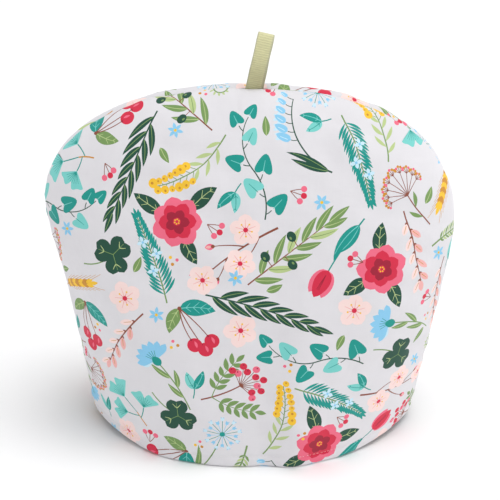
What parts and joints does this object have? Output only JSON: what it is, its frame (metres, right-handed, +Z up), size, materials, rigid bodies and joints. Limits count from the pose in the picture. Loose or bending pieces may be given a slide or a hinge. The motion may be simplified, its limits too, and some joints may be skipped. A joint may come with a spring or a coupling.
{
  "type": "tea cosy",
  "caption": "Padded cotton dome of two panels, open at the hem, that covers a teapot and keeps it warm, with a ribbon loop in the top of its seam.",
  "frame": {"origin": "middle of the hem opening, on the surface that the cosy stands on", "axes": "+Z up to the loop, the front panel faces -Y, +X to the right as seen from the front"},
  "size_m": [0.33, 0.1768, 0.3404],
  "materials": {
    "printed_cotton": "white cotton with a scattered botanical print, padded, matt",
    "grosgrain_ribbon": "sage green ribbed ribbon, soft sheen"
  },
  "bodies": {
    "root": {"front_panel": "printed_cotton", "back_panel": "printed_cotton", "ribbon_loop": "grosgrain_ribbon"}
  },
  "joints": []
}
